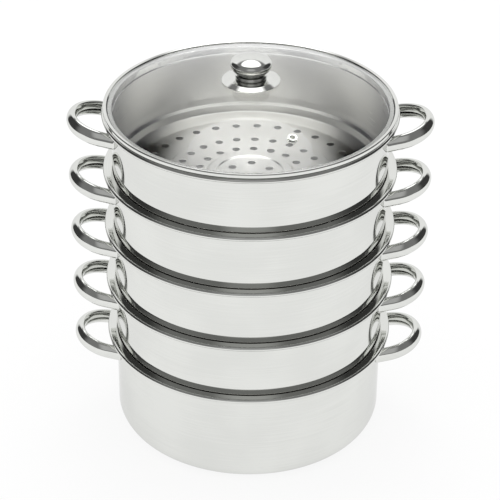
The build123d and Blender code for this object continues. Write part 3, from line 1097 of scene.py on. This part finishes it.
class STEAMER_OT_fixings(Operator):
    """Build what clamps the knob: seals, washer, insert and screw"""

    bl_idname = "steamer.fixings"
    bl_label = "Knob fixings"

    def execute(self, context):
        k = sizes("knob")
        at = Lid()
        small = 0.15 * MILLIMETRE
        out = np.linspace(at.bore, k.seal_radius, 9)
        under = np.column_stack([out, at.ball(out) + k.gap])
        over = np.column_stack([out, at.ball(out, at.thickness + k.gap)])[::-1]
        seals = ("upper", under, at.seal_top - k.gap), ("lower", over, at.under_seal)
        for place, face, flat in seals:
            corners = [face[-1], (face[-1, 0], flat), (face[0, 0], flat), face[0]]
            line = rounded_line(corners, [small, small])[0]
            grid = turned(np.concatenate([face[:-1], line]))
            lid_piece(f"{place}_seal", grid, "soft_seal", f"knob_{place}_seal")

        top, edges = at.under_seal - k.gap, [2 * small] * 4
        grid = ring_grid(at.bore, k.washer_radius, at.under_washer, top, edges)
        lid_piece("clamp_washer", grid, "buffed_steel", "knob_washer")
        bottom = at.plate_top + k.gap
        grid = ring_grid(at.bore, k.insert_radius, bottom, bottom + k.insert_height, [small] * 4)
        lid_piece("threaded_insert", grid, "buffed_steel", "knob_insert")
        self.screw(k, at, small)
        return {"FINISHED"}

    def screw(self, k, at, small):
        """Screw with a domed head and a cross-shaped socket."""
        top, tip = at.under_washer - k.gap, at.plate_top + k.screw_grip
        out = np.linspace(0.0, 1.0, 13)
        bulge = (1 - np.sqrt(1 - (0.75 * out) ** 2)) * k.head_height * 0.6
        face = np.column_stack([out * (k.head_radius - 1.2 * small), top - k.head_height + bulge])
        corners = [face[-1], (k.head_radius, face[-1, 1] + small), (k.head_radius, top)]
        corners += [(k.screw_radius, top), (k.screw_radius, tip), (0.0, tip)]
        line = rounded_line(corners, [small, small, small, 3 * small])[0]
        grid = turned(np.concatenate([face[:-1], line]))
        # the cross: sunk where the nearer of x and y is small and the further is within reach
        x, y = np.abs(grid[..., 0]), np.abs(grid[..., 1])
        across = smooth_step(np.minimum(x, y) / k.cross_width, 0.7, 1.1)
        along = smooth_step(np.maximum(x, y) / (k.cross_reach * k.head_radius), 0.7, 1.1)
        depth = k.cross_depth * (1 - across) * (1 - along)
        grid[: len(face), :, 2] += depth[: len(face)]
        lid_piece("clamp_screw", grid, "buffed_steel", "knob_screw")


def smooth_step(value, low, high):
    """0 below low, 1 above high, with a smooth step between."""
    t = np.clip((value - low) / (high - low), 0.0, 1.0)
    return t * t * (3 - 2 * t)


class STEAMER_OT_stage(Operator):
    """Set the camera, the pale floor, the surroundings and the lamp"""

    bl_idname = "steamer.stage"
    bl_label = "Stage"

    def execute(self, context):
        stage = sizes("stage")
        self.camera(context.scene, stage)
        self.floor(context.scene, stage)
        self.surroundings(context.scene, stage)
        self.lamp(context.scene, stage)
        context.scene.view_settings.view_transform = "Standard"
        return {"FINISHED"}

    def camera(self, scene, stage):
        """Camera that looks along +Y and down, turned a little about its own axis."""
        data = bpy.data.cameras.new("camera")
        data.lens, data.clip_end = stage.lens, 50.0
        eye = bpy.data.objects.new("camera", data)
        eye.matrix_world = (
            Matrix.Translation((stage.aim_x, 0.0, stage.aim_z))
            @ Matrix.Rotation(pi / 2 - stage.elevation, 4, "X")
            @ Matrix.Rotation(stage.roll, 4, "Z")
            @ lift(stage.distance)
        )
        scene.collection.objects.link(eye)
        scene.camera = eye

    def floor(self, scene, stage):
        """Level sheet under the object."""
        wide, front, back = stage.floor_width, -stage.floor_front, stage.floor_back
        work = Patchwork()
        work.add(np.array([[(x, y, 0.0) for x in (-wide, wide)] for y in (front, back)]))
        floor = bpy.data.objects.new("floor", work.mesh("floor"))
        floor.data.materials.append(finish_of("floor"))
        scene.collection.objects.link(floor)

    def surroundings(self, scene, stage):
        """White backdrop; mirrors show it behind, and elsewhere the darker room and its cards."""
        world = bpy.data.worlds.new("surroundings")
        world.use_nodes = True
        scene.world = world
        bench = Bench(world.node_tree)
        x, y, z = bench.split(bench.node("TexCoord", output="Generated"))
        # share of a level direction that points to the front; straight up and down it is 0
        front = 0 - y / bench.maths("SQRT", x * x + y * y + 1e-6)
        low, high = bench.smooth(z, *HORIZON), bench.smooth(z, *CEILING)
        lit = (1 - bench.smooth(front, *BEHIND)) * (1 - high)
        facing = bench.smooth(front, *WINDOW) * low * (1 - bench.smooth(z, *WINDOW_TOP))
        beside = (1 - bench.smooth(front, *SIDES)) * (1 - high)
        room = stage.room + (stage.window - stage.room) * facing
        dark = room + (stage.card - stage.room) * beside
        back, up = y * sin(stage.glow_lean), z * cos(stage.glow_lean)
        glow = bench.smooth(back + up, cos(stage.glow_edge), cos(stage.glow_core))
        tone = (lit + dark * (1 - lit)) * (1 - glow) + glow * stage.glow
        covered = (stage.veil - 1) * low + bench.smooth(up - back, *SKY) * stage.sky
        mirror = bench.node("LightPath", output="Is Glossy Ray")
        through = bench.node("LightPath", output="Is Transmission Ray")
        strength = 1 + mirror * (tone - 1) + through * covered
        inputs = {"Color": opaque(stage.backdrop), "Strength": strength}
        light = bench.node("Background", inputs)
        bench.node("OutputWorld", {"Surface": light})

    def lamp(self, scene, stage):
        """Round soft lamp overhead and a little behind, which the polished tops mirror."""
        data = bpy.data.lights.new("overhead", "AREA")
        data.shape, data.size, data.energy = "DISK", stage.lamp_size, stage.lamp_power
        lamp = bpy.data.objects.new("overhead", data)
        lamp.location = (0.0, stage.lamp_back, stage.lamp_height)
        lamp.rotation_euler = (-atan2(stage.lamp_back, stage.lamp_height - stage.aim_z), 0.0, 0.0)
        lamp.visible_glossy = False
        scene.collection.objects.link(lamp)


OPERATORS = (
    STEAMER_OT_stage,
    STEAMER_OT_stock_pot,
    STEAMER_OT_tiers,
    STEAMER_OT_handles,
    STEAMER_OT_lid_glass,
    STEAMER_OT_lid_band,
    STEAMER_OT_vent,
    STEAMER_OT_knob,
    STEAMER_OT_fixings,
)
SETTINGS = {
    "steamer_vessel": VesselSizes,
    "steamer_handle": HandleSizes,
    "steamer_lid": LidSizes,
    "steamer_knob": KnobSizes,
    "steamer_finish": FinishSettings,
    "steamer_stage": StageSettings,
}


class STEAMER_PT_panel(Panel):
    """Sidebar panel that lists the steamer's pieces and sizes"""

    bl_idname = "STEAMER_PT_panel"
    bl_label = "Stacked steamer"
    bl_space_type = "VIEW_3D"
    bl_region_type = "UI"
    bl_category = "Steamer"

    def draw(self, context):
        for operator in OPERATORS:
            self.layout.operator(operator.bl_idname)
        for name, group in SETTINGS.items():
            box = self.layout.box()
            box.label(text=group.__doc__)
            for key in group.__annotations__:
                box.prop(getattr(context.scene, name), key)


def register():
    for name, group in SETTINGS.items():
        bpy.utils.register_class(group)
        setattr(bpy.types.Scene, name, PointerProperty(type=group))
    for made in (*OPERATORS, STEAMER_PT_panel):
        bpy.utils.register_class(made)


def unregister():
    for made in (STEAMER_PT_panel, *reversed(OPERATORS)):
        bpy.utils.unregister_class(made)
    for name, group in SETTINGS.items():
        delattr(bpy.types.Scene, name)
        bpy.utils.unregister_class(group)


def main():
    """Build every piece."""
    register()
    for operator in OPERATORS:
        group, name = operator.bl_idname.split(".")
        getattr(getattr(bpy.ops, group), name)()


if __name__ == "__main__":
    main()
